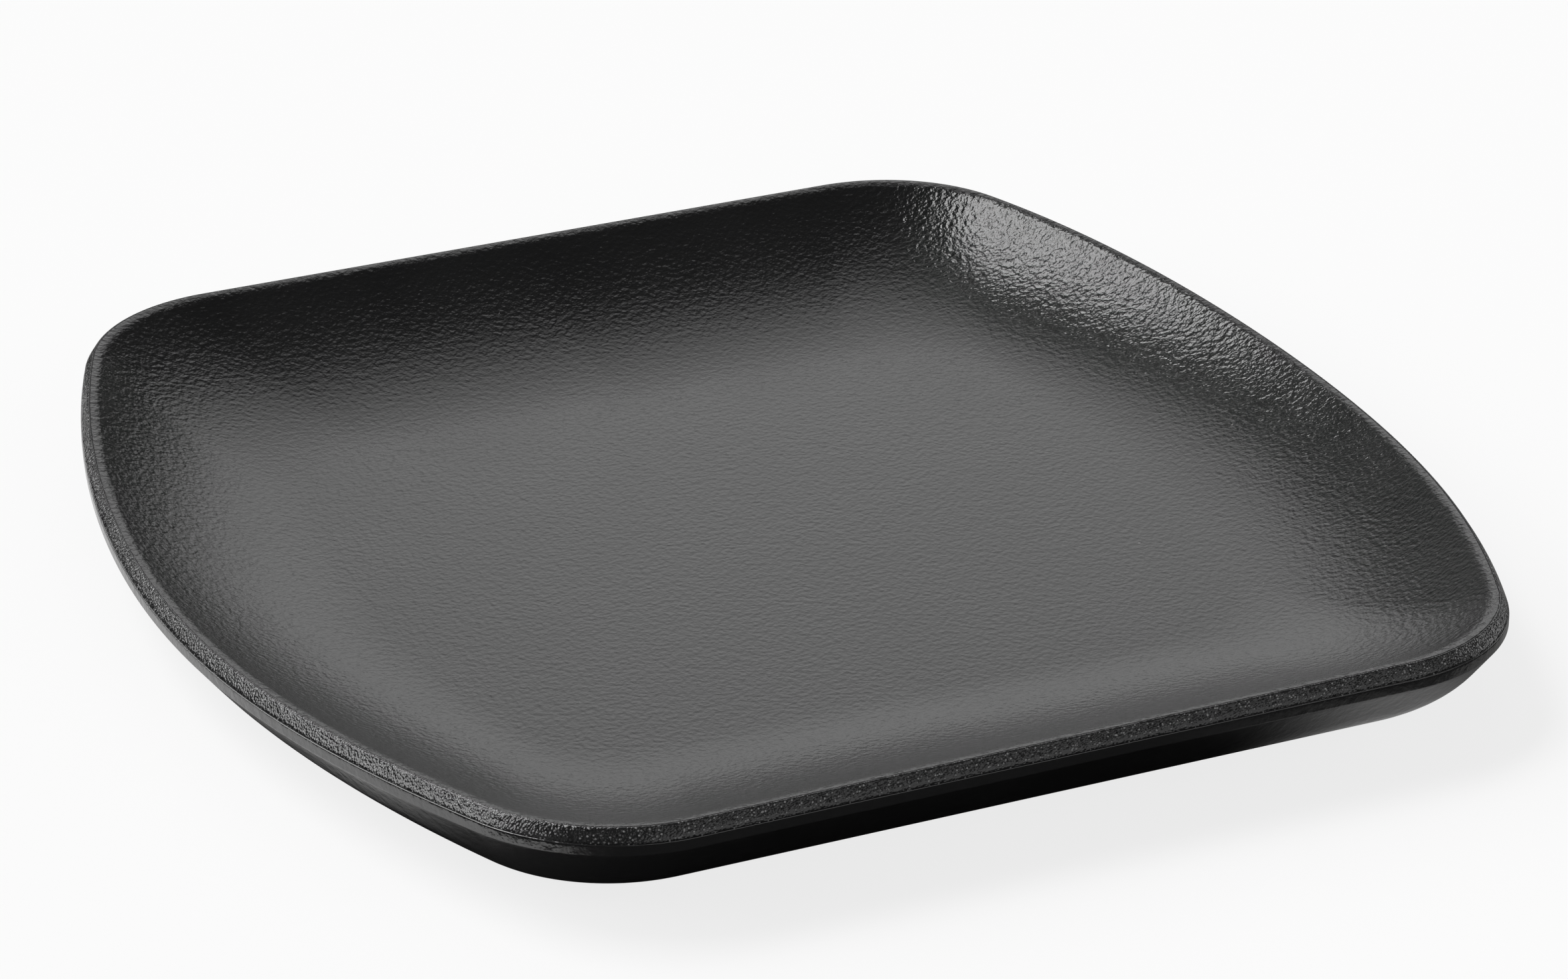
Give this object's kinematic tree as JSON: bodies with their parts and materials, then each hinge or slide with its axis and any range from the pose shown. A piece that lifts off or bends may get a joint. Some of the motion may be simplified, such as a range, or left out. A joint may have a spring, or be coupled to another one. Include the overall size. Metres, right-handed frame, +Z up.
{
  "type": "squarish dinner plate",
  "caption": "Squarish ceramic plate with two straight and two bowed sides, a dished well, a bevelled lip, a leaning outer wall and a ground foot.",
  "frame": {"origin": "centre of the plate's box at its base, on the table", "axes": "+Z up out of the well; +X towards a bowed side, +Y towards a straight side"},
  "size_m": [0.255, 0.26, 0.022],
  "materials": {
    "bare_clay": "matte",
    "well_coat": "satin",
    "lip_coat": "matte",
    "wall_coat": "satin",
    "base_coat": "matte",
    "ground_clay": "matte"
  },
  "bodies": {
    "root": {"clay_body": "bare_clay", "well_glaze": "well_coat", "lip_glaze": "lip_coat", "wall_glaze": "wall_coat", "base_glaze": "base_coat", "foot_ring": "ground_clay"}
  },
  "joints": []
}
